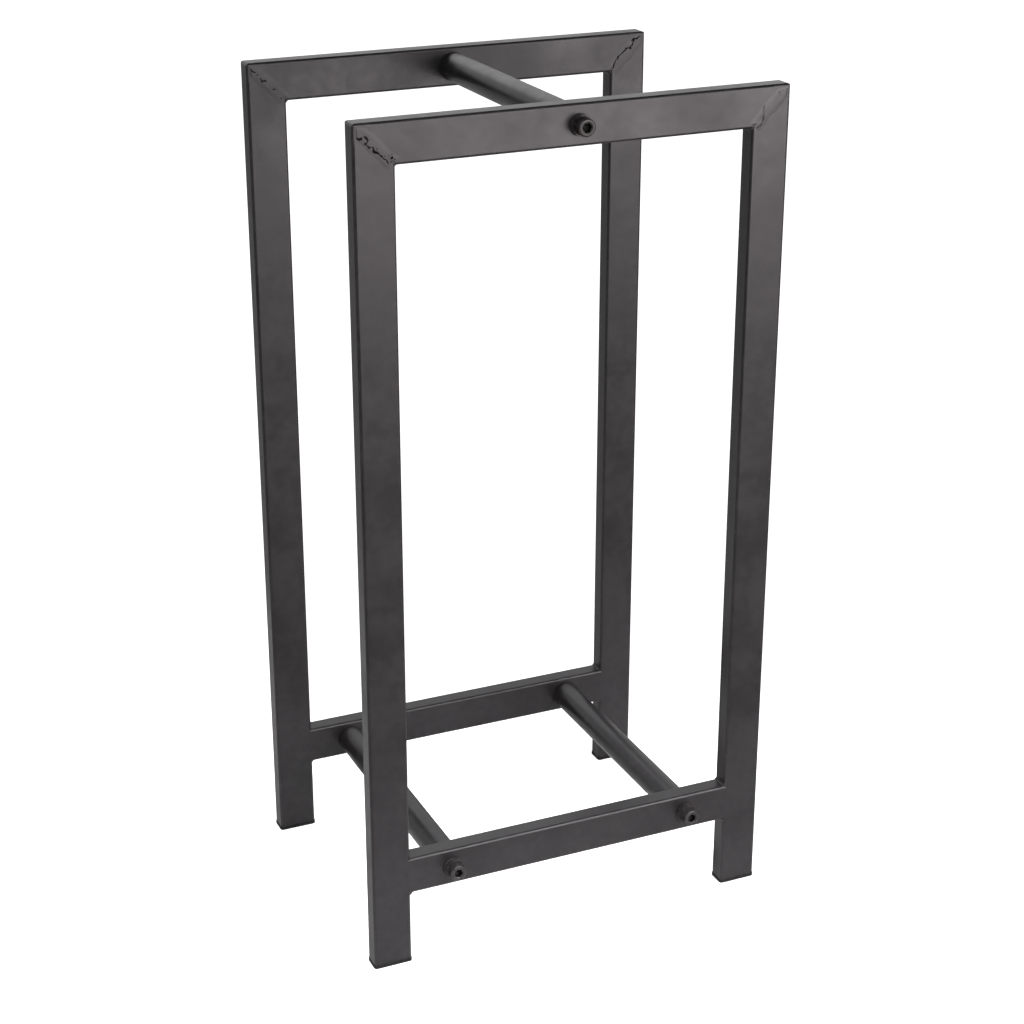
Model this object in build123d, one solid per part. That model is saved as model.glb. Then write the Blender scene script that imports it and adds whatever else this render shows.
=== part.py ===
from build123d import *
import os

# Firewood log rack: two identical welded frames of rectangular tube, one behind the other, held
# apart by three round spacers that are screwed on through the frames' rails. All in millimetres.
# X runs across the rack, Y from the front frame to the rear one, and Z up from the floor.
# The origin is on the floor, under the middle of the rack.

# The whole rack
WIDTH = 330.0  # over the legs of one frame
DEPTH = 240.0  # over the outer faces of the two frames
HEIGHT = 650.0  # floor to the top of the frames

# Frame tube, cold-rolled rectangular steel
TUBE_FACE = 30.0  # wide side, which faces front and rear
TUBE_DEPTH = 15.0  # narrow side, along Y
TUBE_WALL = 1.5
TUBE_CORNER = 2.0  # outer corner radius
CORNER_DRESSING = 2.5  # radius ground on the outer corner of each mitre
BOTTOM_RAIL_HEIGHT = 75.0  # floor to the middle of the bottom rails

# Round spacers between the frames
SPACER_DIAMETER = 22.0
SPACER_WALL = 1.5
SPACER_OFFSET = 100.0  # middle of the rack to the middle of each bottom spacer

# M8 socket-head cap screw, 30 mm long, with its plain washer and spring washer
SCREW_DIAMETER = 8.0
SCREW_LENGTH = 30.0
HEAD_DIAMETER = 13.0
HEAD_HEIGHT = 8.0
HEAD_CHAMFER = 0.8
KEY_SIZE = 6.0  # across the flats of the hexagon socket
KEY_DEPTH = 4.0
KEY_CONE_DEPTH = 1.2  # drill point under the socket
TIP_CHAMFER = 1.0
HOLE_DIAMETER = 9.0  # clearance hole through both walls of a rail
WASHER_DIAMETER = 16.0
WASHER_BORE = 8.4
WASHER_THICKNESS = 1.6
WASHER_CHAMFER = 0.2
SPRING_DIAMETER = 14.8
SPRING_BORE = 8.2
SPRING_THICKNESS = 2.0
SPRING_SLIT = 1.2  # gap between the spring washer's two ends
SPRING_SLIT_SLANT = 25.0  # degrees from the screw's axis

# Threaded insert, fixed inside each end of a spacer
INSERT_LENGTH = 16.0
INSERT_CLEARANCE = 0.05  # between the insert and the spacer's wall, all round
THREAD_BORE = 8.1  # the thread is left plain, just clear of the screw
INSERT_CHAMFER = 1.0

# Plastic foot cap
FOOT_FLANGE = 3.0  # thickness under the leg
FOOT_PROUD = 0.5  # how far the flange stands out round the tube
FOOT_EDGE = 0.8  # chamfer at the floor
PLUG_HEIGHT = 14.0
PLUG_GAP = 0.9  # between the plug's core and the tube's inner wall
PLUG_WALL = 1.5
BARB_GAP = 0.1  # between a barb and the tube's inner wall
BARB_THICKNESS = 1.0
BARB_PITCH = 4.0
BARB_COUNT = 3

# Welds
FILLET_LEG = 3.0  # size of the fillet welds inside the corners
SEAM_WIDTH = 3.0  # dressed seam along a mitre
SEAM_HEIGHT = 0.3
SEAM_INSET = 2.5  # each end of a seam stops this far short of the tube's edge
GROOVE_DEPTH = 1.2  # fill between the leg's round edge and the rail's end
GROOVE_RECESS = 0.1  # how far that fill lies under the faces of the tubes

# Worked out from the sizes above
LEG_X = (WIDTH - TUBE_FACE) / 2
FRAME_Y = (DEPTH - TUBE_DEPTH) / 2
TOP_RAIL_HEIGHT = HEIGHT - TUBE_FACE / 2
INNER_X = WIDTH / 2 - TUBE_FACE  # inner side of a leg
INNER_TOP = HEIGHT - TUBE_FACE  # underside of a top rail
SPACER_LENGTH = DEPTH - 2 * TUBE_DEPTH
STACK = WASHER_THICKNESS + SPRING_THICKNESS  # washers between a rail and a screw head

ENDS = {"front": -1, "rear": 1}
SIDES = {"left": -1, "right": 1}
SPACERS = {
    "top": (0.0, TOP_RAIL_HEIGHT),
    "bottom_left": (-SPACER_OFFSET, BOTTOM_RAIL_HEIGHT),
    "bottom_right": (SPACER_OFFSET, BOTTOM_RAIL_HEIGHT),
}


def tube_section(wide, deep, corner, wall):
    """The cross-section of a rectangular tube with rounded corners."""
    outside = RectangleRounded(wide, deep, corner)
    inside = RectangleRounded(wide - 2 * wall, deep - 2 * wall, corner - wall)
    return outside - inside


def frame_tube(length):
    """A length of frame tube along +Z from the origin, with its wide side facing Y."""
    return extrude(tube_section(TUBE_FACE, TUBE_DEPTH, TUBE_CORNER, TUBE_WALL), length)


def mitre_plane(side):
    """The 45 degree plane between a leg and the top rail, with its normal on the rail's side."""
    return Plane(origin=(side * WIDTH / 2, 0, HEIGHT), z_dir=(-side, 0, 1))


def along_y(radius, length, x, y, z):
    """A round bar along Y, centred on the point."""
    return Pos(x, y, z) * Rot(90, 0, 0) * Cylinder(radius, length)


def ground_corner(side):
    """What is ground away to round the outer corner of both frames' mitres on one side."""
    x = side * (WIDTH / 2 - CORNER_DRESSING)
    z = HEIGHT - CORNER_DRESSING
    offset = side * CORNER_DRESSING
    block = Box(2 * CORNER_DRESSING, DEPTH, 2 * CORNER_DRESSING)
    block = Pos(x + offset, 0, z + CORNER_DRESSING) * block
    return block - along_y(CORNER_DRESSING, 2 * DEPTH, x, 0, z)


def leg(side, end):
    tube = Pos(side * LEG_X, end * FRAME_Y, FOOT_FLANGE) * frame_tube(HEIGHT - FOOT_FLANGE)
    return split(tube, bisect_by=mitre_plane(side), keep=Keep.BOTTOM) - ground_corner(side)


def level_tube(length, end, height):
    """A length of frame tube along X, centred on the rack."""
    return Pos(-length / 2, end * FRAME_Y, height) * Rot(0, 90, 0) * frame_tube(length)


def top_rail(end):
    rail = level_tube(WIDTH, end, TOP_RAIL_HEIGHT)
    for side in SIDES.values():
        rail = split(rail, bisect_by=mitre_plane(side), keep=Keep.TOP) - ground_corner(side)
    x, z = SPACERS["top"]
    return rail - along_y(HOLE_DIAMETER / 2, 2 * TUBE_DEPTH, x, end * FRAME_Y, z)


def bottom_rail(end):
    rail = level_tube(2 * INNER_X, end, BOTTOM_RAIL_HEIGHT)
    for name in ("bottom_left", "bottom_right"):
        x, z = SPACERS[name]
        rail -= along_y(HOLE_DIAMETER / 2, 2 * TUBE_DEPTH, x, end * FRAME_Y, z)
    return rail


def spacer(x, z):
    wall = Circle(SPACER_DIAMETER / 2) - Circle(SPACER_DIAMETER / 2 - SPACER_WALL)
    return Pos(x, SPACER_LENGTH / 2, z) * Rot(90, 0, 0) * extrude(wall, SPACER_LENGTH)


def facing(end, x, y, z):
    """Stands a piece made along +Z on the point, so that it points out of the front or rear."""
    return Pos(x, y, z) * Rot(-end * 90, 0, 0)


def insert():
    """Along +Z, with its outer end at the origin's level and its body below."""
    radius = SPACER_DIAMETER / 2 - SPACER_WALL - INSERT_CLEARANCE
    body = Pos(0, 0, -INSERT_LENGTH / 2) * Cylinder(radius, INSERT_LENGTH)
    body = chamfer(body.edges().group_by(Axis.Z)[0], INSERT_CHAMFER)
    mouth = THREAD_BORE / 2 + INSERT_CHAMFER
    lead_in = Pos(0, 0, -INSERT_CHAMFER / 2) * Cone(THREAD_BORE / 2, mouth, INSERT_CHAMFER)
    return body - Cylinder(THREAD_BORE / 2, 3 * INSERT_LENGTH) - lead_in


def screw():
    """Along +Z, with the underside of its head at the origin's level."""
    head = Pos(0, 0, HEAD_HEIGHT / 2) * Cylinder(HEAD_DIAMETER / 2, HEAD_HEIGHT)
    head = chamfer(head.edges().group_by(Axis.Z)[-1], HEAD_CHAMFER)
    flat_radius = KEY_SIZE / 2
    socket = RegularPolygon(flat_radius, 6, major_radius=False)
    head -= Pos(0, 0, HEAD_HEIGHT - KEY_DEPTH) * extrude(socket, KEY_DEPTH)
    cone_middle = HEAD_HEIGHT - KEY_DEPTH - KEY_CONE_DEPTH / 2
    head -= Pos(0, 0, cone_middle) * Cone(0, flat_radius, KEY_CONE_DEPTH)
    shank = Pos(0, 0, -SCREW_LENGTH / 2) * Cylinder(SCREW_DIAMETER / 2, SCREW_LENGTH)
    shank = chamfer(shank.edges().group_by(Axis.Z)[0], TIP_CHAMFER)
    return head + shank


def ring(outer, bore, thickness):
    """A flat ring standing on the origin's level."""
    return extrude(Circle(outer / 2) - Circle(bore / 2), thickness)


def plain_washer():
    washer = ring(WASHER_DIAMETER, WASHER_BORE, WASHER_THICKNESS)
    rim = washer.edges().filter_by(GeomType.CIRCLE).sort_by(SortBy.RADIUS)[-2:]
    return chamfer(rim, WASHER_CHAMFER)


def spring_washer():
    washer = ring(SPRING_DIAMETER, SPRING_BORE, SPRING_THICKNESS)
    slit = Box(SPRING_DIAMETER, SPRING_SLIT, 4 * SPRING_THICKNESS)
    place = Pos(SPRING_DIAMETER / 2, 0, SPRING_THICKNESS / 2)
    return washer - place * Rot(SPRING_SLIT_SLANT, 0, 0) * slit


def foot_flange():
    wide = TUBE_FACE + 2 * FOOT_PROUD
    deep = TUBE_DEPTH + 2 * FOOT_PROUD
    flange = extrude(RectangleRounded(wide, deep, TUBE_CORNER + FOOT_PROUD), FOOT_FLANGE)
    return chamfer(flange.edges().group_by(Axis.Z)[0], FOOT_EDGE)


def foot(side, end):
    """A flange under the leg, and a hollow plug with barbs that grips inside it."""
    inner_wide = TUBE_FACE - 2 * TUBE_WALL
    inner_deep = TUBE_DEPTH - 2 * TUBE_WALL
    inner_corner = TUBE_CORNER - TUBE_WALL
    core_wide = inner_wide - 2 * PLUG_GAP
    core_deep = inner_deep - 2 * PLUG_GAP
    plug = extrude(RectangleRounded(core_wide, core_deep, inner_corner), PLUG_HEIGHT)
    barb = extrude(
        RectangleRounded(inner_wide - 2 * BARB_GAP, inner_deep - 2 * BARB_GAP, inner_corner),
        BARB_THICKNESS,
    )
    for step in range(BARB_COUNT):
        plug += Pos(0, 0, (step + 0.5) * BARB_PITCH) * barb
    hollow = Rectangle(core_wide - 2 * PLUG_WALL, core_deep - 2 * PLUG_WALL)
    plug -= extrude(hollow, PLUG_HEIGHT)
    cap = foot_flange() + Pos(0, 0, FOOT_FLANGE) * plug
    return Pos(side * LEG_X, end * FRAME_Y, 0) * cap


def corner_fillet(side, end, z, upward):
    """A fillet weld across the depth of a frame, inside a corner between a leg and a rail."""
    corner = (side * INNER_X, z)
    on_rail = (side * (INNER_X - FILLET_LEG), z)
    on_leg = (side * INNER_X, z + upward * FILLET_LEG)
    triangle = Plane.XZ * make_face(Polyline(corner, on_rail, on_leg, close=True))
    run = TUBE_DEPTH - 2 * TUBE_CORNER
    return Pos(0, end * FRAME_Y, 0) * extrude(triangle, run / 2, both=True)


def mitre_seam(side, end, face):
    """The low dressed bead along a mitre, on the front (-1) or rear (1) face of a frame."""
    low = (-SEAM_WIDTH / 2, 0)
    crown = (0, SEAM_HEIGHT)
    high = (SEAM_WIDTH / 2, 0)
    bead = make_face(Line(high, low) + ThreePointArc(low, crown, high))
    length = TUBE_FACE * 2**0.5 - 2 * SEAM_INSET
    middle = (side * LEG_X, end * FRAME_Y + face * TUBE_DEPTH / 2, TOP_RAIL_HEIGHT)
    place = Plane(origin=middle, x_dir=(-face, 0, side * face), z_dir=(-side, 0, -1))
    return place * extrude(bead, length / 2, both=True)


def groove_fill(side, end, face):
    """Weld metal between a leg's round edge and the square end of the bottom rail."""
    surface = end * FRAME_Y + face * TUBE_DEPTH / 2
    depth = GROOVE_DEPTH - GROOVE_RECESS
    height = TUBE_FACE - 2 * TUBE_CORNER
    x = side * (INNER_X + TUBE_CORNER / 2)
    y = surface - face * (GROOVE_RECESS + depth / 2)
    fill = Pos(x, y, BOTTOM_RAIL_HEIGHT) * Box(TUBE_CORNER, depth, height)
    edge_x = side * (INNER_X + TUBE_CORNER)
    edge_y = surface - face * TUBE_CORNER
    return fill - Pos(edge_x, edge_y, BOTTOM_RAIL_HEIGHT) * Cylinder(TUBE_CORNER, TUBE_FACE)


def mitre_weld(side, end):
    seams = [mitre_seam(side, end, face) for face in ENDS.values()]
    return Compound([corner_fillet(side, end, INNER_TOP, -1), *seams])


def rail_weld(side, end):
    above = corner_fillet(side, end, BOTTOM_RAIL_HEIGHT + TUBE_FACE / 2, 1)
    below = corner_fillet(side, end, BOTTOM_RAIL_HEIGHT - TUBE_FACE / 2, -1)
    fills = [groove_fill(side, end, face) for face in ENDS.values()]
    return Compound([above, below, *fills])


def frame_parts(end_name, end):
    """One welded frame: four tubes, their welds and the feet."""
    parts = {
        f"{end_name}_top_rail": top_rail(end),
        f"{end_name}_bottom_rail": bottom_rail(end),
    }
    for side_name, side in SIDES.items():
        parts[f"{end_name}_{side_name}_leg"] = leg(side, end)
        parts[f"{end_name}_{side_name}_foot"] = foot(side, end)
        parts[f"{end_name}_{side_name}_mitre_weld"] = mitre_weld(side, end)
        parts[f"{end_name}_{side_name}_rail_weld"] = rail_weld(side, end)
    return parts


def joint_parts(end_name, end, spacer_name, x, z):
    """What holds one end of a spacer: the insert in it, and the screw with its washers."""
    face = end * DEPTH / 2
    joint = f"{end_name}_{spacer_name}"
    return {
        f"{joint}_insert": facing(end, x, end * SPACER_LENGTH / 2, z) * insert(),
        f"{joint}_washer": facing(end, x, face, z) * plain_washer(),
        f"{joint}_spring_washer": facing(end, x, face + end * WASHER_THICKNESS, z)
        * spring_washer(),
        f"{joint}_screw": facing(end, x, face + end * STACK, z) * screw(),
    }


def rack_parts():
    parts = {}
    for end_name, end in ENDS.items():
        parts.update(frame_parts(end_name, end))
    for spacer_name, (x, z) in SPACERS.items():
        parts[f"{spacer_name}_spacer"] = spacer(x, z)
        for end_name, end in ENDS.items():
            parts.update(joint_parts(end_name, end, spacer_name, x, z))
    return parts


os.makedirs("parts", exist_ok=True)
for node, shape in rack_parts().items():
    export_step(shape, f"parts/{node}.step")
    print(node, round(shape.volume, 1))
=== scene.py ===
# %% [markdown]
# # Firewood log rack
#
# The rack is two welded frames of rectangular steel tube, one behind the other, held apart by three round
# spacers that are screwed on through the rails. Everything is powder coated in a satin charcoal black.
#
# The frame from the design already has every tube at its real size and place. This script gives those
# tubes their finish, and models the pieces whose small shapes make the rack look made by hand: welds,
# screws and feet.

# %% Load the frame
import math

import bmesh
import bpy
from mathutils import Matrix, Vector, noise


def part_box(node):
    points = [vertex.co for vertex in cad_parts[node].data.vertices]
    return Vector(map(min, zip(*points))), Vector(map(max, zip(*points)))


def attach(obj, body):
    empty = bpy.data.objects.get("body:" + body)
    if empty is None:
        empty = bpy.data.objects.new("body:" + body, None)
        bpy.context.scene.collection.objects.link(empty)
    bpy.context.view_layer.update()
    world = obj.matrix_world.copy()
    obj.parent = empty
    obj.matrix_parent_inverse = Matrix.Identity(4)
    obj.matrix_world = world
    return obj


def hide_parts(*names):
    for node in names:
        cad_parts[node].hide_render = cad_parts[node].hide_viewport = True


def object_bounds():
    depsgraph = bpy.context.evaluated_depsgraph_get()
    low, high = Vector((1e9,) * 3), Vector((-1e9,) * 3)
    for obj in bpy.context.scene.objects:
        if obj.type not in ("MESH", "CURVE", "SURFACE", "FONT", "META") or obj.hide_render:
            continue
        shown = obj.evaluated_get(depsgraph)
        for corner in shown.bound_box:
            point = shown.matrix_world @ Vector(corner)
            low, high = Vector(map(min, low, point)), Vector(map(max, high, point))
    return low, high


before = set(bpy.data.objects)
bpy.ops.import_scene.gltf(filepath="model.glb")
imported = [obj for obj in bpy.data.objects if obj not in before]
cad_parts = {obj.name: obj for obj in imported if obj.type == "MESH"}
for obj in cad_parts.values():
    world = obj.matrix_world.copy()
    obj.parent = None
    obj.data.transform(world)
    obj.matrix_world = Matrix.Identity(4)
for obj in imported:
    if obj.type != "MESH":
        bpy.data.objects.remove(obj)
cad_low, cad_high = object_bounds()
MM = 0.001
print("rack in mm:", [round(side / MM) for side in cad_high - cad_low])

# %% [markdown]
# ## Camera
#
# A camera that looks at an object from its left and from above shows three sides at once. It could be a
# camera without any perspective, but a long lens from nearly two metres looks more natural, and still
# keeps the legs almost parallel. The camera is placed by how far it is turned and raised round the point
# that it looks at.

# %% Camera
CAMERA_TURN = -24.04  # degrees round the rack
CAMERA_RISE = 22.45  # degrees above it
CAMERA_DISTANCE = 1.7086
CAMERA_LENS = 76.5
SENSOR_WIDTH = 36.0
AIM = Vector((0.0026, 0.0, 0.3043))

turn = math.radians(CAMERA_TURN)
rise = math.radians(CAMERA_RISE)
back = Vector((math.sin(turn) * math.cos(rise), -math.cos(turn) * math.cos(rise), math.sin(rise)))
camera_data = bpy.data.cameras.new("camera")
camera_data.lens = CAMERA_LENS
camera_data.sensor_width = SENSOR_WIDTH
camera = bpy.data.objects.new("camera", camera_data)
camera.location = AIM + CAMERA_DISTANCE * back
camera.rotation_euler = (math.pi / 2 - rise, 0, turn)
bpy.context.scene.collection.objects.link(camera)
bpy.context.scene.camera = camera
print("camera at", [round(value, 3) for value in camera.location])

# %% [markdown]
# ## Node helpers
#
# A procedural material is a small network. It could be written out node by node and link by link, but the
# same few steps come again in every finish. So each of these helpers does one of them: add a node and set
# its sockets, start a material, do a sum, map a range, mix two colours, and make noise with lumps of a
# real size.

# %% Node helpers
def add_node(tree, kind, settings=None, **sockets):
    """Adds a node. A socket, named by its number (_0) or its name, gets a value or another node's output."""
    node = tree.nodes.new(kind)
    for name, value in (settings or {}).items():
        setattr(node, name, value)
    for name, value in sockets.items():
        by_number = name[0] == "_"
        socket = node.inputs[int(name[1:]) if by_number else name.replace("_", " ")]
        if isinstance(value, bpy.types.NodeSocket):
            tree.links.new(value, socket)
        else:
            socket.default_value = value
    return node


def new_material(name):
    """An empty material with its output, and the shader that every finish here uses."""
    material = bpy.data.materials.new(name)
    material.use_nodes = True
    tree = material.node_tree
    tree.nodes.clear()
    shader = tree.nodes.new("ShaderNodeBsdfPrincipled")
    output = tree.nodes.new("ShaderNodeOutputMaterial")
    tree.links.new(shader.outputs["BSDF"], output.inputs["Surface"])
    return material, tree, shader


def math_node(tree, operation, first, second=0.0):
    """One sum of two numbers or outputs."""
    return add_node(tree, "ShaderNodeMath", {"operation": operation}, _0=first, _1=second).outputs[0]


def spread(tree, value, low, high, to_low=0.0, to_high=1.0):
    """Maps low..high smoothly to to_low..to_high."""
    node = add_node(
        tree,
        "ShaderNodeMapRange",
        {"interpolation_type": "SMOOTHSTEP"},
        _0=value,
        _1=low,
        _2=high,
        _3=to_low,
        _4=to_high,
    )
    return node.outputs[0]


def mix_colour(tree, factor, first, second):
    """The first colour where the factor is 0, the second where it is 1."""
    return add_node(tree, "ShaderNodeMix", {"data_type": "RGBA"}, _0=factor, _6=first, _7=second).outputs[2]


def speckle(tree, where, size, detail=2.0, roughness=0.5):
    """Noise whose lumps are about this many metres across."""
    node = add_node(
        tree, "ShaderNodeTexNoise", Vector=where, Scale=1.0 / size, Detail=detail, Roughness=roughness
    )
    return node.outputs["Fac"]


print("lumps of 1 mm need a noise scale of", round(1.0 / MM))

# %% [markdown]
# ## Worn edges
#
# A coat is thinnest on the edges, and handling rubs it a little lighter there. Edges could be found with
# a bevel or a pointiness node, but the one is slow and the other needs a fine mesh. Here the surface
# direction is enough: on a flat side of a tube the normal points along one axis, and on a rounded edge it
# lies between two.

# %% Worn edges
FLAT_SIDE = 0.99  # the largest part of the normal where a flat side ends
ROUND_EDGE = 0.80  # and where the edge is fully round
RUB_SIZE = 9 * MM


def worn_edges(tree, place):
    """1 where a rounded edge is rubbed, 0 on flat sides and where the coat is sound."""
    axis = add_node(tree, "ShaderNodeVectorMath", {"operation": "ABSOLUTE"}, _0=place.outputs["Normal"])
    parts = add_node(tree, "ShaderNodeSeparateXYZ", _0=axis.outputs[0])
    largest = math_node(tree, "MAXIMUM", parts.outputs[0], parts.outputs[1])
    largest = math_node(tree, "MAXIMUM", largest, parts.outputs[2])
    edge = spread(tree, largest, FLAT_SIDE, ROUND_EDGE)
    rubbed = speckle(tree, place.outputs["Object"], RUB_SIZE, detail=5.0, roughness=0.7)
    return math_node(tree, "MULTIPLY", edge, spread(tree, rubbed, 0.48, 0.75))


print("a normal halfway round an edge has a largest part of", round(math.cos(math.radians(45)), 2))

# %% [markdown]
# ## Powder coat
#
# Powder coat is sprayed on as dry plastic dust and melted in an oven. It flows into a satin skin that is
# never quite flat: it has a fine orange-peel ripple about a millimetre across, and longer, very shallow
# waves. Its tone and gloss also drift a little from place to place.
#
# One noise could drive all of it, but then light spots would always be the rough ones. So there are six
# noises of different sizes, and colour, gloss and height each take their own share of them.

# %% Powder coat
COAT_DARK = (0.0098, 0.0087, 0.0094, 1.0)
COAT_LIGHT = (0.0170, 0.0150, 0.0163, 1.0)
COAT_WORN = (0.050, 0.044, 0.045, 1.0)
COAT_TINT = (0.965, 0.95, 0.99, 1.0)
GRAIN_SHOWS = 0.08  # how far a grain lightens the coat
WEAR_SHOWS = 0.5
COAT_GLOSS = (0.32, 0.42)  # roughness, from the glossiest to the dullest places
CLOUD_GLOSS = 0.02
GRAIN_GLOSS = 0.03
WAVE_HEIGHT = 1.7  # heights are shares of COAT_DEPTH
OTHER_HEIGHTS = {"cloud": 0.25, "swell": 4.0, "peel": 0.12, "grain": 0.03}
COAT_DEPTH = 0.1 * MM


def powder_coat_base(name):
    """A coated finish; returns its material, tree and shader."""
    material, tree, shader = new_material(name)
    place = tree.nodes.new("ShaderNodeTexCoord")
    where = place.outputs["Object"]
    noises = {
        "mottle": speckle(tree, where, 45 * MM, detail=5.0, roughness=0.6),
        "swell": speckle(tree, where, 38 * MM, detail=2.0),
        "wave": speckle(tree, where, 14 * MM, detail=1.0),
        "cloud": speckle(tree, where, 8 * MM, detail=2.5, roughness=0.55),
        "peel": speckle(tree, where, 1.3 * MM, detail=1.0),
        "grain": speckle(tree, where, 0.5 * MM, detail=2.0),
    }

    half_mottle = math_node(tree, "MULTIPLY", noises["mottle"], 0.5)
    half_cloud = math_node(tree, "MULTIPLY", noises["cloud"], 0.5)
    patchy = math_node(tree, "ADD", half_mottle, half_cloud)
    colour = mix_colour(tree, spread(tree, patchy, 0.38, 0.62), COAT_DARK, COAT_LIGHT)
    colour = mix_colour(tree, spread(tree, noises["grain"], 0.55, 0.8, 0.0, GRAIN_SHOWS), colour, COAT_WORN)
    wear = math_node(tree, "MULTIPLY", worn_edges(tree, place), WEAR_SHOWS)
    tree.links.new(mix_colour(tree, wear, colour, COAT_WORN), shader.inputs["Base Color"])

    gloss = spread(tree, noises["mottle"], 0.3, 0.7, *COAT_GLOSS)
    for noise_name, swing in (("cloud", CLOUD_GLOSS), ("grain", GRAIN_GLOSS)):
        gloss = math_node(tree, "ADD", gloss, spread(tree, noises[noise_name], 0.3, 0.7, -swing, swing))
    tree.links.new(gloss, shader.inputs["Roughness"])

    height = math_node(tree, "MULTIPLY", noises["wave"], WAVE_HEIGHT)
    for noise_name, share in OTHER_HEIGHTS.items():
        height = math_node(tree, "ADD", height, math_node(tree, "MULTIPLY", noises[noise_name], share))
    bump = add_node(tree, "ShaderNodeBump", Strength=0.6, Distance=COAT_DEPTH, Height=height)
    tree.links.new(bump.outputs["Normal"], shader.inputs["Normal"])
    shader.inputs["Specular Tint"].default_value = COAT_TINT
    return material, tree, shader


powder_coat = powder_coat_base("powder_coat")[0]
print("powder coat has", len(powder_coat.node_tree.nodes), "nodes")

# %% [markdown]
# The design's own tubes are not remodelled, because their shape is already right. They only get the coat,
# and so do their welds, until new weld pieces take the welds' place.

# %% Coat the tubes
COATED = [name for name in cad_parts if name.endswith(("leg", "rail", "spacer", "weld"))]
for name in COATED:
    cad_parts[name].material_slots[0].material = powder_coat
print(len(COATED), "coated tubes and welds")

# %% [markdown]
# ## Measures from the frame
#
# The places of the new pieces could be typed in as numbers, but they would be wrong after any change to
# the design. So every new piece is placed from the boxes of the parts that it joins. X runs along the
# rails, Y from the front to the rear, and Z up.

# %% Measures from the frame
ROOT_TWO = math.sqrt(2.0)
leg_low, leg_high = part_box("front_left_leg")
rail_low, rail_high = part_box("front_bottom_rail")
OUTER_X = -leg_low.x
INNER_X = -leg_high.x
TUBE_FACE = OUTER_X - INNER_X
TUBE_DEPTH = leg_high.y - leg_low.y
FRAME_Y = -(leg_low.y + leg_high.y) / 2
TOP_Z = cad_high.z
RAIL_BOTTOM, RAIL_TOP = rail_low.z, rail_high.z
TUBE_CORNER = 2.0 * MM  # radius of the tube's outside corners
TUBE_WALL = 1.5 * MM
ENDS = {"front": -1, "rear": 1}
SIDES = {"left": -1, "right": 1}
print("tube in mm:", round(TUBE_FACE / MM, 2), "x", round(TUBE_DEPTH / MM, 2))

# %% [markdown]
# Every modelled piece ends the same way: its mesh becomes an object at the origin that rides on the
# rack's one body. Its curves are shaded smooth, and corners that are sharper than a set angle stay crisp,
# which needs no modifier.

# %% Finish a piece
def finish_piece(bm, name, materials, body="root", sharp=40.0):
    """Turns a bmesh into a piece that rides on the rack, smooth apart from its sharp corners."""
    mesh = bpy.data.meshes.new(name)
    bm.to_mesh(mesh)
    bm.free()
    for material in materials:
        mesh.materials.append(material)
    mesh.shade_smooth()
    mesh.set_sharp_from_angle(angle=math.radians(sharp))
    piece = bpy.data.objects.new(name, mesh)
    bpy.context.scene.collection.objects.link(piece)
    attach(piece, body)
    return piece


print("pieces in the design:", len(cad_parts))

# %% [markdown]
# ## Dressed welds
#
# Each mitre is welded along its faces and inside its corner. The face welds are ground almost flush
# before coating, which leaves a low, uneven patch along the mitre. Where the grinder opened a pore or
# missed a cold lap, a ragged crack or a round pit shows through the coat.
#
# The cracks could be a bump in the material, but a bump has no shape of its own and fades at a low angle.
# So a patch is a fine grid laid on the tube, and a height rule moves each of its points up or down. That
# gives the mound, cuts the cracks into it, and dips the border just under the tube's face, so no outline
# shows.
#
# First come the small rules that the height is made of: an easy step, noise, and the distance to a crack.

# %% Cracks and pits
RAGGED = 0.7  # mm that noise shifts a crack's edge
SINK = 0.04  # mm that a patch's border lies under the tube's face
MOUND = 0.13  # mm that its middle stands proud
CRACK_FLOOR = 0.02  # mm above the tube's face that a crack's floor lies


def smooth(low, high, value):
    """0 below low, 1 above high, and an easy curve between."""
    share = min(1.0, max(0.0, (value - low) / (high - low)))
    return share * share * (3.0 - 2.0 * share)


def lumps(s, t, size, seed):
    """Even noise from -1 to 1, with lumps about this many millimetres across."""
    return noise.noise(Vector((s / size, t / size, seed * 7.31)))


def distance_to_path(point, path):
    """How far a point is from a line through the path's points."""
    nearest = 1e9
    for start, end in zip(path, path[1:]):
        first, run = Vector(start), Vector(end) - Vector(start)
        share = min(1.0, max(0.0, (point - first).dot(run) / run.length_squared))
        nearest = min(nearest, (point - first - share * run).length)
    return nearest


def crevice_at(s, t, seed, cracks, pits):
    """1 inside a crack or pit, 0 away from them; the noise makes their edges ragged."""
    point = Vector((s + RAGGED * lumps(s, t, 1.6, seed), t + RAGGED * lumps(s, t, 1.9, seed + 9)))
    depth = 0.0
    for path, width, strength in cracks:
        wide = max(0.05, width * (0.9 + 0.8 * lumps(s, t, 2.6, seed + 3)))
        depth = max(depth, strength * (1.0 - smooth(0.3 * wide, wide, distance_to_path(point, path))))
    for s_pit, t_pit, radius in pits:
        depth = max(depth, 1.0 - smooth(0.5 * radius, radius, (point - Vector((s_pit, t_pit))).length))
    return depth


print("middle of a pit:", crevice_at(5.0, 0.0, 1, [], [(5.0, 0.0, 3.0)]))

# %% [markdown]
# The mound runs along the mitre. It fades out towards both sides, and before the rounded outer and inner
# corners of the tube, so it never stands over an edge.

# %% Mitre height
MOUND_HALF = 7.4  # mm from the mitre to where the mound ends
FADE_OUTER, FADE_INNER = 2.0, 1.5  # mm


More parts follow.
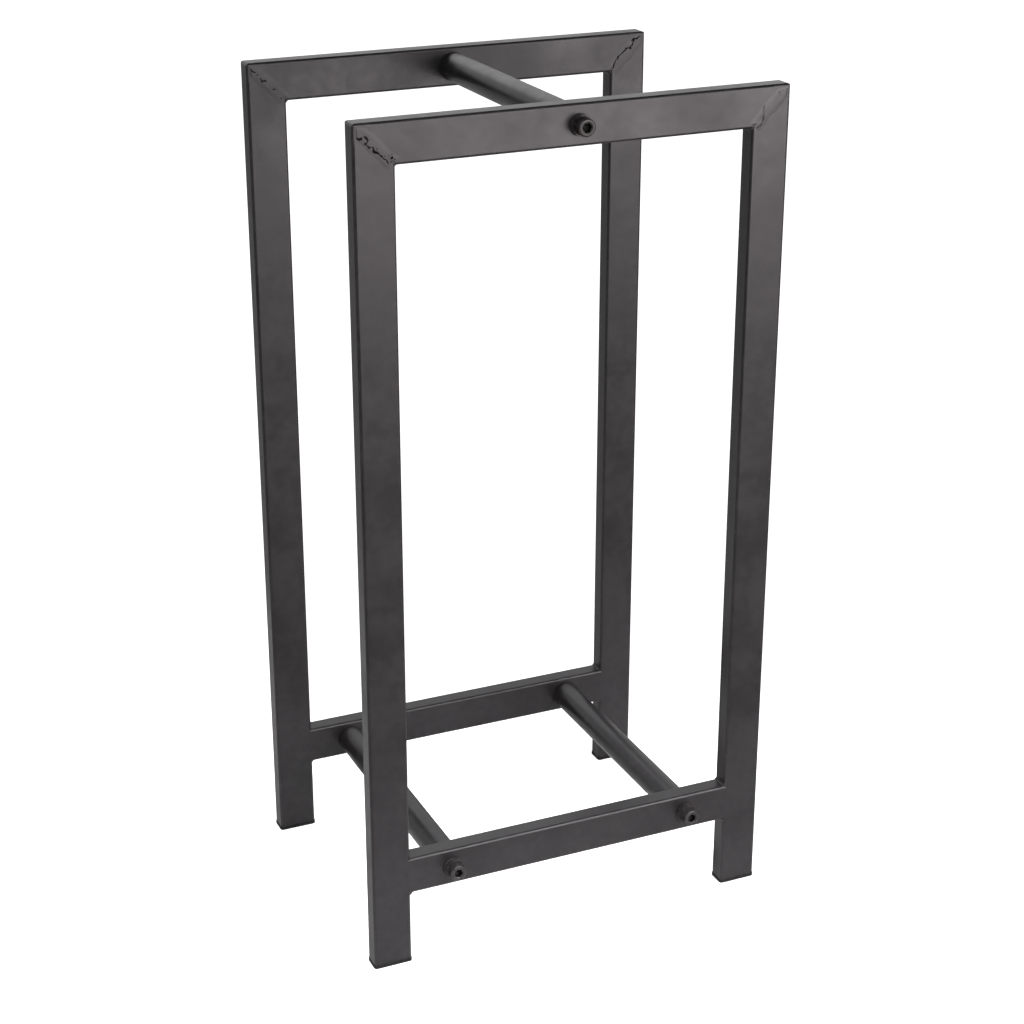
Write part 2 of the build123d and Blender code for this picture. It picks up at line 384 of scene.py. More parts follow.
def mitre_height(s, t, seed, cracks, pits):
    """Height in mm of a dressed mitre, s along it from the outer corner and t across it."""
    nearest_edge = min(s - t, s + t) / ROOT_TWO
    face = TUBE_FACE / MM
    corner = TUBE_CORNER / MM
    fade = smooth(corner, corner + FADE_OUTER, nearest_edge)
    fade *= smooth(0.0, FADE_INNER, face - corner - nearest_edge)
    spread_out = MOUND_HALF + 1.4 * lumps(s, t, 9.0, seed)
    fade *= 1.0 - smooth(0.2 * spread_out, spread_out, abs(t))
    mound = MOUND * (0.85 + 0.3 * lumps(s, t, 5.0, seed + 1) + 0.12 * lumps(s, t, 1.8, seed + 2))
    height = fade * (mound + SINK) - SINK
    crevice = crevice_at(s, t, seed, cracks, pits) * smooth(-0.01, 0.04, height)
    return height - crevice * max(0.0, height - CRACK_FLOOR), crevice


print("mound in mm:", round(mitre_height(20.0, 0.0, 11, [], [])[0], 3))

# %% [markdown]
# ## Patches
#
# A patch could be cut out of the tube's own mesh, but the tube stays as the design made it. So the patch
# is a thin closed plate of its own, half a millimetre deep or a little more, that sits in the tube's wall
# with only its top showing.
#
# First come three helpers: two that sort what an operator returns, and one that lays a patch on a face.

# %% Patch helpers
def faces_of(verts):
    """The faces that touch these points, each once and always in the same order."""
    return list(dict.fromkeys(face for vert in verts for face in vert.link_faces))


def vertices_in(geometry):
    """Only the points of what an operator returned."""
    return [item for item in geometry if isinstance(item, bmesh.types.BMVert)]


def axes(s_axis, t_axis, up, origin):
    """The matrix that lays a patch with its s and t along these directions."""
    matrix = Matrix((s_axis, t_axis, up)).transposed().to_4x4()
    matrix.translation = origin
    return matrix


print("a patch laid on the origin:", axes((1, 0, 0), (0, 1, 0), (0, 0, 1), (0, 0, 0)).is_identity)

# %% [markdown]
# The patch starts as a grid and is trimmed by planes. Its points take their height and their crevice value
# from the rule, and the sheet is then extruded down and laid in its place.

# %% Patches
CELL = 0.3 * MM  # one square of the grid


def add_patch(bm, place, length, width, height_rule, crevice_layer, cuts=(), thickness=0.5 * MM):
    """Lays a closed patch on a face; place turns its own s, t, height in metres into the rack's axes.

    Each cut is a point and a direction in s and t: what lies beyond the point in that direction is cut off.
    """
    columns, rows = round(length / CELL), round(width / CELL)
    grid = bmesh.ops.create_grid(bm, x_segments=columns, y_segments=rows, size=0.5)
    sheet = grid["verts"]
    for vert in sheet:
        vert.co.x = (vert.co.x + 0.5) * length
        vert.co.y *= width
    for point, direction in cuts:
        parts = faces_of(sheet)
        parts += [edge for vert in sheet for edge in vert.link_edges] + sheet
        cut = bmesh.ops.bisect_plane(
            bm,
            geom=list(dict.fromkeys(parts)),
            plane_co=(*point, 0.0),
            plane_no=(*direction, 0.0),
            clear_outer=True,
        )
        kept = vertices_in(cut["geom"]) + vertices_in(cut["geom_cut"])
        sheet = [vert for vert in dict.fromkeys(kept) if vert.is_valid]
    for vert in sheet:
        height, crevice = height_rule(vert.co.x / MM, vert.co.y / MM)
        vert.co.z = height * MM
        vert[crevice_layer] = crevice
    base = bmesh.ops.extrude_face_region(bm, geom=faces_of(sheet), use_keep_orig=True)
    below = vertices_in(base["geom"])
    for vert in below:
        vert.co.z = -thickness
        vert[crevice_layer] = 0.0
    bmesh.ops.transform(bm, matrix=place, verts=sheet + below)


print("grid cells across the tube:", round(TUBE_FACE / CELL))

# %% [markdown]
# ## Fillet beads
#
# The bead inside a corner is a fillet: a roughly triangular run of metal that joins the leg to the rail.
# It is left as welded, so it has soft ripples, one for each dab of the torch, and rounded ends. A
# triangle could be extruded along the corner, but a bent grid can hold the ripples as well. Its underside
# is gathered to a line inside the tubes, which closes the bead.

# %% Fillet beads
BEAD_LEG = {"front_left": 1.3 * MM, "front_right": 3.4 * MM, "rear_left": 2.4 * MM, "rear_right": 3.2 * MM}
BEAD_RIPPLE = 2.3 * MM  # from one ripple to the next
BEAD_SHAPE = 1.9  # a fillet with 1 bulges, with 2 it is flat, and with more it is hollow
BEAD_SINK = 0.15 * MM
BEAD_ROOT = 0.6 * MM  # how far inside the corner the closing line lies
END_ROUNDING = 0.45
RIPPLE_SWING = 0.045  # shares of the fillet's size
UNEVEN_SWING = 0.10
BEAD_GRID = (14, 44)  # squares round the fillet and along it


def add_bead(bm, corner, along_rail, along_leg, half_run, leg, seed):
    """A rippled fillet across the depth of the tube, in the corner between a leg and a rail."""
    grid = bmesh.ops.create_grid(bm, x_segments=BEAD_GRID[0], y_segments=BEAD_GRID[1], size=0.5)
    for vert in grid["verts"]:
        turn_share, y_share = vert.co.x + 0.5, 2.0 * vert.co.y
        angle = turn_share * math.pi / 2
        y = y_share * half_run
        ripple = RIPPLE_SWING * math.sin(2 * math.pi * y / BEAD_RIPPLE + 3.0 * turn_share + seed)
        uneven = UNEVEN_SWING * lumps(y / MM, turn_share * 4.0, 2.5, seed)
        rounding = 1.0 - END_ROUNDING * abs(y_share) ** 8
        size = leg * rounding * (1.0 + ripple + uneven)
        reach_rail = size * math.cos(angle) ** BEAD_SHAPE - BEAD_SINK
        reach_leg = size * math.sin(angle) ** BEAD_SHAPE - BEAD_SINK
        vert.co = corner + along_rail * reach_rail + along_leg * reach_leg + Vector((0.0, y, 0.0))
    base = bmesh.ops.extrude_face_region(bm, geom=faces_of(grid["verts"]), use_keep_orig=True)
    below = vertices_in(base["geom"])
    buried = corner - BEAD_ROOT * (along_rail + along_leg)
    for vert in below:
        vert.co.x, vert.co.z = buried.x, buried.z
    bmesh.ops.remove_doubles(bm, verts=below, dist=0.001 * MM)


print("fillet legs in mm:", {name: round(leg / MM, 1) for name, leg in BEAD_LEG.items()})

# %% [markdown]
# ## Weld finish
#
# The coat runs over the welds too, so they get the same finish. Shadow and a little dust collect in the
# cracks, where the spray cannot reach, but the cracks are too shallow to cast that shadow themselves, so
# it is painted shade in the colour. A mask of noise could darken them, but it would not lie where the
# cracks are. So each point of a patch carries a value that says how deep in a crack it lies: the painted
# shade darkens the colour with it, and the faces that are fully inside a crack are painted a dead black.

# %% Weld finish
# Painted shade, with a little dust: these colours darken the cracks as if shadow fell in them.
CRACK_SHADE_BLACK = (0.003, 0.003, 0.003, 1.0)
CRACK_SHADE_DARK = (0.002, 0.002, 0.002, 1.0)
CRACK_SHADE_LIGHT = (0.012, 0.010, 0.009, 1.0)
FULLY_INSIDE = 0.55  # above this share a face belongs to the crack

weld_coat, tree, shader = powder_coat_base("weld_coat")
crevice = add_node(tree, "ShaderNodeAttribute", {"attribute_name": "crevice"}).outputs["Fac"]
coat_colour = shader.inputs["Base Color"].links[0].from_socket
coat_gloss = shader.inputs["Roughness"].links[0].from_socket
shade = spread(tree, crevice, 0.0, 0.6)
tree.links.new(mix_colour(tree, shade, coat_colour, CRACK_SHADE_BLACK), shader.inputs["Base Color"])
dull = math_node(tree, "ADD", coat_gloss, math_node(tree, "MULTIPLY", shade, 0.35))
tree.links.new(dull, shader.inputs["Roughness"])

# A near-black finish of painted shade for the faces that lie deep in a crack.
painted_crack_shade, tree, shader = new_material("weld_crack_shade")
inside = speckle(tree, tree.nodes.new("ShaderNodeTexCoord").outputs["Object"], 0.6 * MM)
tree.links.new(mix_colour(tree, inside, CRACK_SHADE_DARK, CRACK_SHADE_LIGHT), shader.inputs["Base Color"])
shader.inputs["Specular IOR Level"].default_value = 0.05
shader.inputs["Roughness"].default_value = 0.9


def finish_weld(bm, name, crevice_layer):
    """Makes the piece, its deepest faces painted black as crack shade, in place of the design's weld."""
    bmesh.ops.recalc_face_normals(bm, faces=bm.faces[:])
    for face in bm.faces:
        if sum(vert[crevice_layer] for vert in face.verts) / len(face.verts) > FULLY_INSIDE:
            face.material_index = 1
    piece = finish_piece(bm, f"{name}_bead", [weld_coat, painted_crack_shade], sharp=60.0)
    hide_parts(name)
    return piece


print("weld finish has", len(weld_coat.node_tree.nodes), "nodes")

# %% [markdown]
# ## Grinding marks
#
# Every corner was ground by hand, so every corner has its own marks. Noise alone could scatter them, but
# it would make all corners alike. So they are written down as short paths along the mitre. The height
# rule makes their edges ragged, so a path of three or four points is enough.
#
# A crack is a path, its width in mm and its depth from 0 to 1. The path's points are (mm along the mitre
# from the outer corner, mm across it towards the leg). A pit is such a point with a radius. The first
# list of a corner holds its cracks, the second its pits, and a corner that isn't listed has the plain
# marks.

# %% Grinding marks
MARKS = {
    ("front", "left", -1): (
        [
            ([(5.0, 2.2), (6.4, 3.4), (8.4, 4.9), (10.9, 4.0)], 1.15, 1.0),
            ([(10.9, 4.0), (11.4, 1.6), (12.2, 0.5)], 0.5, 0.8),
            ([(12.2, 0.5), (14.6, 0.2), (16.4, 0.9)], 1.2, 1.0),
            ([(16.4, 0.9), (16.0, 3.3), (19.8, 3.2)], 0.8, 1.0),
            ([(19.8, 3.2), (21.9, 1.5)], 0.5, 0.9),
            ([(21.9, 1.5), (24.5, 3.2), (27.4, 2.2)], 1.15, 1.0),
            ([(27.4, 2.2), (29.8, 1.8), (31.5, 2.4), (34.6, 1.7), (37.6, 2.4)], 0.6, 0.9),
        ],
        [
            (36.9, -2.1, 1.35),
            (12.0, 2.9, 0.8),
            (19.5, 5.4, 0.6),
            (34.2, -1.2, 0.5),
            (35.2, -3.8, 0.5),
            (38.4, 0.2, 0.6),
            (39.3, -2.4, 0.5),
            (32.4, 0.3, 0.45),
            (24.6, 0.6, 0.45),
        ],
    ),
    ("front", "right", -1): (
        [
            ([(25.0, -5.2), (31.5, 1.3)], 0.9, 0.3),
            ([(31.5, 1.3), (34.7, 3.2), (39.0, 2.9), (41.5, 0.8)], 0.8, 0.5),
        ],
        [(10.8, -2.7, 0.5)],
    ),
    ("rear", "left", -1): (
        [
            ([(16.0, 1.2), (17.6, 1.8), (20.4, -0.6)], 0.65, 1.0),
            ([(5.2, 0.6), (7.4, 1.6), (9.6, 0.4)], 0.5, 1.0),
        ],
        [(6.8, 1.1, 0.7), (12.2, 0.6, 0.75), (28.8, 0.0, 0.8), (30.2, -1.2, 0.5), (38.3, 1.3, 0.6)],
    ),
    ("rear", "right", -1): (
        [
            ([(5.6, -0.6), (8.2, -1.2), (10.5, -2.7), (14.7, -1.0), (17.7, -0.4)], 0.8, 1.0),
            ([(10.5, -2.7), (11.6, -4.0), (13.2, -3.4)], 0.6, 1.0),
            (
                [
                    (17.7, -0.4),
                    (19.2, -2.2),
                    (23.5, -2.8),
                    (28.2, -3.6),
                    (33.9, -3.0),
                    (38.3, -1.1),
                    (41.0, 1.1),
                ],
                0.7,
                1.0,
            ),
        ],
        [(10.5, -2.9, 1.1), (17.9, -0.2, 1.1), (20.5, -3.6, 0.6)],
    ),
}
PLAIN_MARKS = (
    [([(9.0, 0.5), (15.0, -0.8), (22.0, 0.6), (27.0, -0.2)], 0.4, 0.9)],
    [(33.0, 1.0, 0.6)],
)
print("cracks by corner:", {f"{end}_{side}": len(cracks) for (end, side, _), (cracks, _) in MARKS.items()})

# %% [markdown]
# ## Mitre welds
#
# A mitre's weld is one piece: a patch on the front face, one on the rear face, and the bead inside the
# corner. The three could be separate objects, but on the rack they are one run of metal. Each patch is
# turned to lie along the mitre, and the tube's two outer edges trim its end to a point.

# %% Mitre welds
MITRE = 40.4 * MM  # length of the patch from the outer corner
EDGE_CUT = 1.2 * MM  # the patch stops this far inside the outer edges
PATCH_WIDTH = 17.0 * MM
MITRE_BEAD_STOP = 0.6 * MM  # from the tube's faces to the bead's ends
SEED_STEP = 17


def mitre_weld(end_name, end, side_name, side, seed):
    """The weld of one mitred corner."""
    bm = bmesh.new()
    layer = bm.verts.layers.float.new("crevice")
    for face in (-1, 1):
        cracks, pits = MARKS.get((end_name, side_name, face), PLAIN_MARKS)
        origin = Vector((side * OUTER_X, end * FRAME_Y + face * TUBE_DEPTH / 2, TOP_Z))
        s_axis = Vector((-side, 0.0, -1.0)).normalized()
        t_axis = Vector((side, 0.0, -1.0)).normalized()
        place = axes(s_axis, t_axis, Vector((0.0, face, 0.0)), origin)

        def rule(s, t, seed=seed + face, cracks=cracks, pits=pits):
            return mitre_height(s, t, seed, cracks, pits)

        cuts = [((EDGE_CUT * ROOT_TWO, 0.0), (-1.0, turned)) for turned in (-1.0, 1.0)]
        add_patch(bm, place, MITRE, PATCH_WIDTH, rule, layer, cuts)
    corner = Vector((side * INNER_X, end * FRAME_Y, TOP_Z - TUBE_FACE))
    half_run = TUBE_DEPTH / 2 - MITRE_BEAD_STOP
    leg = BEAD_LEG[f"{end_name}_{side_name}"]
    add_bead(bm, corner, Vector((-side, 0, 0)), Vector((0, 0, -1)), half_run, leg, seed)
    return finish_weld(bm, f"{end_name}_{side_name}_mitre_weld", layer)


seed = 11
for end_name, end in ENDS.items():
    for side_name, side in SIDES.items():
        piece = mitre_weld(end_name, end, side_name, side, seed)
        seed += SEED_STEP
        print(piece.name, len(piece.data.polygons), "faces")

# %% [markdown]
# ## Bottom rail welds
#
# A bottom rail ends square against a leg whose edge is round, which leaves a groove down each face of the
# joint. The welder fills the groove and dresses it flush, then runs a bead over the rail and one under
# it.
#
# The groove could be filled with a plain strip, but the rail's own edges are round as well, and a strip
# would stand out past them. So the strip's two ends follow the rail's rounding down.

# %% Groove height
GROOVE = 2.0 * MM  # the leg's round edge, which the weld fills up to the rail's square end
GROOVE_OVERLAP = 1.1 * MM
GROOVE_STOP = 0.5 * MM  # from the top and the underside of the rail
GROOVE_FADE = 0.9  # mm
PROUD = 0.05  # mm


def groove_height(s, t, seed, length, width):
    """Height in mm of the flush weld beside a rail's end, s up the joint, t across it; and its crevice, 0."""
    corner = TUBE_CORNER / MM
    past_flat = max(0.0, corner - GROOVE_STOP / MM - min(s, length - s))
    drop = corner - math.sqrt(corner**2 - past_flat**2)
    fade = smooth(0.0, GROOVE_FADE, width / 2 - abs(t))
    uneven = 0.04 * lumps(s, t, 3.0, seed) + 0.03 * lumps(s, t, 1.2, seed + 5)
    return fade * (PROUD + SINK + uneven) - SINK - drop, 0.0


print("flush weld in mm:", round(groove_height(15.0, 0.0, 101, 30.0, 4.2)[0], 3))

# %% [markdown]
# The patches and beads are made by the same two functions as at the mitres. The beads over the rails are
# small, and those under them are larger in front, where the welder could reach them better.

# %% Bottom rail welds
GROOVE_THICKNESS = 1.2 * MM
BEAD_OVER = 1.6 * MM
BEAD_UNDER = {"front": 2.6 * MM, "rear": 1.5 * MM}
RAIL_BEAD_STOP = 0.2 * MM  # from the tube's faces to the bead's ends


def rail_weld(end_name, end, side_name, side, seed):
    """The weld round one end of a bottom rail."""
    bm = bmesh.new()
    layer = bm.verts.layers.float.new("crevice")
    length = RAIL_TOP - RAIL_BOTTOM - 2 * GROOVE_STOP
    width = GROOVE + 2 * GROOVE_OVERLAP
    for face in (-1, 1):
        middle_x = side * (INNER_X + GROOVE / 2)
        origin = Vector((middle_x, end * FRAME_Y + face * TUBE_DEPTH / 2, RAIL_BOTTOM + GROOVE_STOP))
        place = axes(Vector((0, 0, 1)), Vector((side, 0, 0)), Vector((0, face, 0)), origin)

        def rule(s, t, seed=seed + face):
            return groove_height(s, t, seed, length / MM, width / MM)

        add_patch(bm, place, length, width, rule, layer, thickness=GROOVE_THICKNESS)
    half_run = TUBE_DEPTH / 2 - RAIL_BEAD_STOP
    for height, up, leg in ((RAIL_TOP, 1, BEAD_OVER), (RAIL_BOTTOM, -1, BEAD_UNDER[end_name])):
        corner = Vector((side * INNER_X, end * FRAME_Y, height))
        add_bead(bm, corner, Vector((-side, 0, 0)), Vector((0, 0, up)), half_run, leg, seed + up)
    return finish_weld(bm, f"{end_name}_{side_name}_rail_weld", layer)


seed = 101
for end_name, end in ENDS.items():
    for side_name, side in SIDES.items():
        piece = rail_weld(end_name, end, side_name, side, seed)
        seed += SEED_STEP
        print(piece.name, len(piece.data.polygons), "faces")

# %% [markdown]
# ## Screws
#
# A socket-head cap screw is turned steel, blackened in hot oil. Its head has a knurled side for the
# fingers, a small chamfer, and a hexagon socket with a countersunk mouth. It could be a cylinder with the
# socket cut out, but such a cut leaves long thin faces. A profile that is spun round the axis is cleaner,
# and it is how a lathe makes the screw. It runs from the screw's tip along its thread, over the head, and
# down into the socket.

# %% Screw profile
HEAD_RADIUS = 6.5  # every measure of the screw is in mm
HEAD_HEIGHT = 8.0
KEY_HALF = 3.0  # from the socket's middle to its flats
KEY_DEPTH = 4.0
SHANK_RADIUS = 4.0
SHANK_LENGTH = 30.0
THREAD_PITCH = 1.25
THREAD_DEPTH = 0.65
THREAD_TOP = -7.5
TIP_CHAMFER = 1.0


def screw_profile():
    """Points (radius, height) from the tip of the screw up to its head and down into its socket."""
    points = [(0.0, -SHANK_LENGTH), (SHANK_RADIUS - TIP_CHAMFER, -SHANK_LENGTH)]
    height = -SHANK_LENGTH + TIP_CHAMFER
    while height < THREAD_TOP:
        points += [(SHANK_RADIUS, height), (SHANK_RADIUS - THREAD_DEPTH, height + THREAD_PITCH / 2)]
        height += THREAD_PITCH
    points += [(SHANK_RADIUS, height), (SHANK_RADIUS, 0.0)]
    points += [(HEAD_RADIUS - 0.45, 0.0), (HEAD_RADIUS - 0.12, 0.13)]
    points += [(HEAD_RADIUS, 0.45), (HEAD_RADIUS, 0.9)]
    points += [(HEAD_RADIUS, 7.0), (HEAD_RADIUS - 0.08, 7.25), (HEAD_RADIUS - 0.75, 7.92)]
    points += [(HEAD_RADIUS - 0.95, HEAD_HEIGHT), (4.05, HEAD_HEIGHT), (3.95, HEAD_HEIGHT - 0.04)]
    points += [(KEY_HALF, 7.35), (KEY_HALF, 7.1), (KEY_HALF, HEAD_HEIGHT - KEY_DEPTH)]
    points += [(1.2, 3.3), (0.0, 2.8)]
    return points


print(len(screw_profile()), "points in the screw's profile")

# %% [markdown]
# The profile goes once round the axis, and its two ends, which lie on the axis, close the solid. A number of
# steps that divides by twelve puts points on a hexagon's corners and on the middles of its flats.

# %% Spin
SPIN_STEPS = 96


def spin_profile(bm, points, steps):
    """Spins (radius, height) points round the Z axis into a closed solid."""
    verts = [bm.verts.new((radius, 0.0, height)) for radius, height in points]
    edges = [bm.edges.new(pair) for pair in zip(verts, verts[1:])]
    bmesh.ops.spin(
        bm,
        geom=verts + edges,
        cent=(0, 0, 0),
        axis=(0, 0, 1),
        angle=2 * math.pi,
        steps=steps,
        use_merge=True,
    )
    bmesh.ops.remove_doubles(bm, verts=bm.verts[:], dist=0.0005)
    bmesh.ops.recalc_face_normals(bm, faces=bm.faces[:])


print("degrees in a step:", 360 / SPIN_STEPS)

# %% [markdown]
# The spun head is still round inside and out. The rings inside the socket are pulled in to a hexagon, and
# every second column of the head's side is pushed in for the knurl.

# %% Screw
KNURL_DEPTH = 0.22
KNURL_FROM, KNURL_TO = 0.8, 7.1
SOCKET_RADIUS, SOCKET_FLOOR, SOCKET_MOUTH = 3.5, 2.0, 7.3  # faces between these are the socket's


def hexagon_radius(angle):
    """Radius of a hexagon at this angle, for one that is KEY_HALF from its middle to its flats."""
    return KEY_HALF / math.cos((angle % (math.pi / 3)) - math.pi / 6)


def screw_bmesh(turn):
    """A whole screw about the Z axis, turned by this angle; the socket's faces get the second material."""
    bm = bmesh.new()
    spin_profile(bm, screw_profile(), SPIN_STEPS)
    for vert in bm.verts:
        radius, angle = math.hypot(vert.co.x, vert.co.y), math.atan2(vert.co.y, vert.co.x)
        column = round(angle / (2 * math.pi) * SPIN_STEPS)
        if radius > HEAD_RADIUS - 0.01 and KNURL_FROM < vert.co.z < KNURL_TO and column % 2:
            vert.co.xy *= (HEAD_RADIUS - KNURL_DEPTH) / HEAD_RADIUS
        elif abs(radius - KEY_HALF) < 0.01 and vert.co.z > HEAD_HEIGHT - KEY_DEPTH - 0.01:
            vert.co.xy *= hexagon_radius(angle) / KEY_HALF
    for face in bm.faces:
        middle = face.calc_center_median()
        if math.hypot(middle.x, middle.y) < SOCKET_RADIUS and SOCKET_FLOOR < middle.z < SOCKET_MOUTH:
            face.material_index = 1
    bmesh.ops.rotate(bm, verts=bm.verts[:], cent=(0, 0, 0), matrix=Matrix.Rotation(turn, 3, "Z"))
    return bm


print("across the hexagon's corners in mm:", round(2 * hexagon_radius(0.0), 2))

# %% [markdown]
# ## Blackened steel
#
# The blackening is a thin oxide on bright steel: nearly black, a little glossy with oil, and rubbed
# through to grey where a tool touched it. It could be a metal shader, but the oxide is not metal itself
# and mirrors far less than steel. So it is a dark, glossy paint-like finish with a slightly warm
# reflection.

# %% Blackened steel
OXIDE_DARK = (0.010, 0.0095, 0.010, 1.0)
OXIDE_LIGHT = (0.034, 0.031, 0.031, 1.0)
RUBBED_STEEL = (0.09, 0.085, 0.08, 1.0)
OIL_TINT = (0.94, 0.88, 0.90, 1.0)
SCRATCH_DEPTH = 0.03 * MM

blackened_steel, tree, shader = new_material("blackened_steel")
where = tree.nodes.new("ShaderNodeTexCoord").outputs["Object"]
blotch = speckle(tree, where, 3 * MM, detail=4.0)
fine = speckle(tree, where, 0.25 * MM, detail=2.0)
oxide = mix_colour(tree, spread(tree, blotch, 0.35, 0.7), OXIDE_DARK, OXIDE_LIGHT)
oxide = mix_colour(tree, spread(tree, fine, 0.58, 0.8, 0.0, 0.35), oxide, RUBBED_STEEL)
tree.links.new(oxide, shader.inputs["Base Color"])
tree.links.new(spread(tree, blotch, 0.3, 0.7, 0.34, 0.50), shader.inputs["Roughness"])
scratched = math_node(tree, "ADD", fine, math_node(tree, "MULTIPLY", blotch, 2.0))
bump = add_node(tree, "ShaderNodeBump", Strength=0.5, Distance=SCRATCH_DEPTH, Height=scratched)
tree.links.new(bump.outputs["Normal"], shader.inputs["Normal"])
shader.inputs["Specular Tint"].default_value = OIL_TINT

WASHERS = [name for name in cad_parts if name.endswith("washer")]
for name in WASHERS:
    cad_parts[name].material_slots[0].material = blackened_steel
print(len(WASHERS), "blackened washers")

# %% [markdown]
# ## Socket
#
# Oil and dust gather in the hexagon socket, and little light gets in. The steel's own finish would look
# too bright there, so the socket's faces have a duller, almost black one: painted shade for the deep
# socket, with some oil and dust.

# %% Socket
# Painted shade with some oil and dust: the socket's near-black colours stand in for its shadow.
SHADE_AND_GRIME_DARK = (0.002, 0.002, 0.002, 1.0)
SHADE_AND_GRIME_LIGHT = (0.010, 0.009, 0.008, 1.0)

socket_dark, tree, shader = new_material("socket_dark")
shade_and_grime = speckle(tree, tree.nodes.new("ShaderNodeTexCoord").outputs["Object"], 0.8 * MM)
tree.links.new(mix_colour(tree, shade_and_grime, SHADE_AND_GRIME_DARK, SHADE_AND_GRIME_LIGHT), shader.inputs["Base Color"])
shader.inputs["Specular IOR Level"].default_value = 0.12
shader.inputs["Roughness"].default_value = 0.4
print("socket finish has", len(socket_dark.node_tree.nodes), "nodes")

# %% [markdown]
# ## Placing the screws
#
# Each screw stands where the design's screw stands. Copies of one mesh would all be turned the same way,
# so each is made anew and turned differently, as screws end up when they are tight.

# %% Screws
SCREW_FACE = 3.6 * MM  # washers between the rail's face and the head
FIRST_TURN, TURN_STEP, TURN_END = 0.35, 0.8, 0.3  # radians
JOINTS = ("top", "bottom_left", "bottom_right")


def facing(end, x, face_y, z):
    """Stands a piece made in mm along +Z on the point, pointing out of the front or the rear."""
    tip_over = Matrix.Rotation(-end * math.pi / 2, 4, "X")
    return Matrix.Translation((x, face_y, z)) @ tip_over @ Matrix.Scale(MM, 4)


for end_name, end in ENDS.items():
    for number, joint in enumerate(JOINTS):
        name = f"{end_name}_{joint}_screw"
        low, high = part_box(name)
        bm = screw_bmesh(turn=FIRST_TURN + TURN_STEP * number + TURN_END * end)
        face_y = end * (FRAME_Y + TUBE_DEPTH / 2 + SCREW_FACE)
        bm.transform(facing(end, (low.x + high.x) / 2, face_y, (low.z + high.z) / 2))
        materials = [blackened_steel, socket_dark]
        piece = finish_piece(bm, f"{name}_turned", materials, sharp=35.0)
        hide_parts(name)
        print(piece.name, len(piece.data.polygons), "faces")

# %% [markdown]
# ## Zinc plate
#
# The threaded inserts in the spacers are zinc plated. They could be one flat grey, but plating has a
# faint cloudy flake, so one noise moves both its colour and its gloss. It is bare metal, so its shader is
# fully metallic.

# %% Zinc plate
ZINC_DARK = (0.42, 0.43, 0.45, 1.0)
ZINC_LIGHT = (0.62, 0.62, 0.60, 1.0)

zinc, tree, shader = new_material("zinc_plate")
where = tree.nodes.new("ShaderNodeTexCoord").outputs["Object"]
flakes = speckle(tree, where, 2.5 * MM, detail=3.0)
tree.links.new(mix_colour(tree, flakes, ZINC_DARK, ZINC_LIGHT), shader.inputs["Base Color"])
tree.links.new(spread(tree, flakes, 0.3, 0.7, 0.28, 0.45), shader.inputs["Roughness"])
shader.inputs["Metallic"].default_value = 1.0

INSERTS = [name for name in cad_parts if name.endswith("insert")]
for name in INSERTS:
    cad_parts[name].material_slots[0].material = zinc
print(len(INSERTS), "zinc plated inserts")

# %% [markdown]
# ## Black plastic
#
# The feet are moulded in black plastic, with a soft sheen and the fine, even grain of the mould. The
# grain is far too small to model, so it is a bump, and a larger noise smears the tone and the gloss a
# little.

# %% Black plastic
PLASTIC_DARK = (0.006, 0.006, 0.006, 1.0)
PLASTIC_LIGHT = (0.014, 0.013, 0.013, 1.0)
MOULD_GRAIN = 0.05 * MM

black_plastic, tree, shader = new_material("black_plastic")
where = tree.nodes.new("ShaderNodeTexCoord").outputs["Object"]
grain = speckle(tree, where, 0.35 * MM, detail=1.0)
smear = speckle(tree, where, 12 * MM, detail=4.0)
plastic = mix_colour(tree, spread(tree, smear, 0.35, 0.7), PLASTIC_DARK, PLASTIC_LIGHT)
tree.links.new(plastic, shader.inputs["Base Color"])
tree.links.new(spread(tree, smear, 0.3, 0.7, 0.42, 0.58), shader.inputs["Roughness"])
bump = add_node(tree, "ShaderNodeBump", Strength=0.5, Distance=MOULD_GRAIN, Height=grain)
tree.links.new(bump.outputs["Normal"], shader.inputs["Normal"])
shader.inputs["Specular IOR Level"].default_value = 0.22
print("plastic has", len(black_plastic.node_tree.nodes), "nodes")

# %% [markdown]
# ## Feet
#
# A foot is a cap with a flange that shows, and a ribbed, hollow plug that grips the inside of the leg.
# The flange and the plug could be two boxes pushed together, but they are moulded in one, so they grow
# out of one box.
#
# The first two helpers make a box with rounded upright edges, and find its level faces.

# %% Rounded box
SAME_HEIGHT = 1e-6


def rounded_box(bm, wide, deep, low, high, corner, segments=6):
    """A box whose upright edges are rounded."""
    size = Matrix.Diagonal((wide, deep, high - low, 1.0))
    place = Matrix.Translation((0.0, 0.0, (low + high) / 2)) @ size
    verts = bmesh.ops.create_cube(bm, size=1.0, matrix=place)["verts"]
    edges = dict.fromkeys(edge for vert in verts for edge in vert.link_edges)
    upright = [edge for edge in edges if abs(edge.verts[0].co.z - edge.verts[1].co.z) > (high - low) / 2]
    bmesh.ops.bevel(
        bm,
        geom=upright,
        offset=corner,
        offset_type="OFFSET",
        segments=segments,
        profile=0.5,
        affect="EDGES",
        material=-1,
    )


def level_faces(bm, height):
    """The faces that lie level at this height."""
    return [face for face in bm.faces if all(abs(vert.co.z - height) < SAME_HEIGHT for vert in face.verts)]


print("inside of the leg in mm:", round((TUBE_FACE - 2 * TUBE_WALL) / MM, 1), "wide")

# %% [markdown]
# The flange's edges are beveled, and its sole is sunk a little, so the foot stands on its rim. Its top
# face is then drawn up ring by ring, narrower and wider in turn, which makes the ribs. The last face is
# pushed back down to hollow the plug.

# %% Foot
FLANGE = 3.0 * MM
FLANGE_PROUD = 0.5 * MM
FLANGE_ROUND = 0.35 * MM
SOLE_RIM = 2.2 * MM
SOLE_SUNK = 0.5 * MM
PLUG_HEIGHT = 14.0 * MM
PLUG_RINGS = 7
PLUG_GAP = 0.2 * MM  # between the plug and the leg's inside
PLUG_WALL = 1.5 * MM
PLUG_FLOOR = 1.0 * MM
RIB = 0.7 * MM


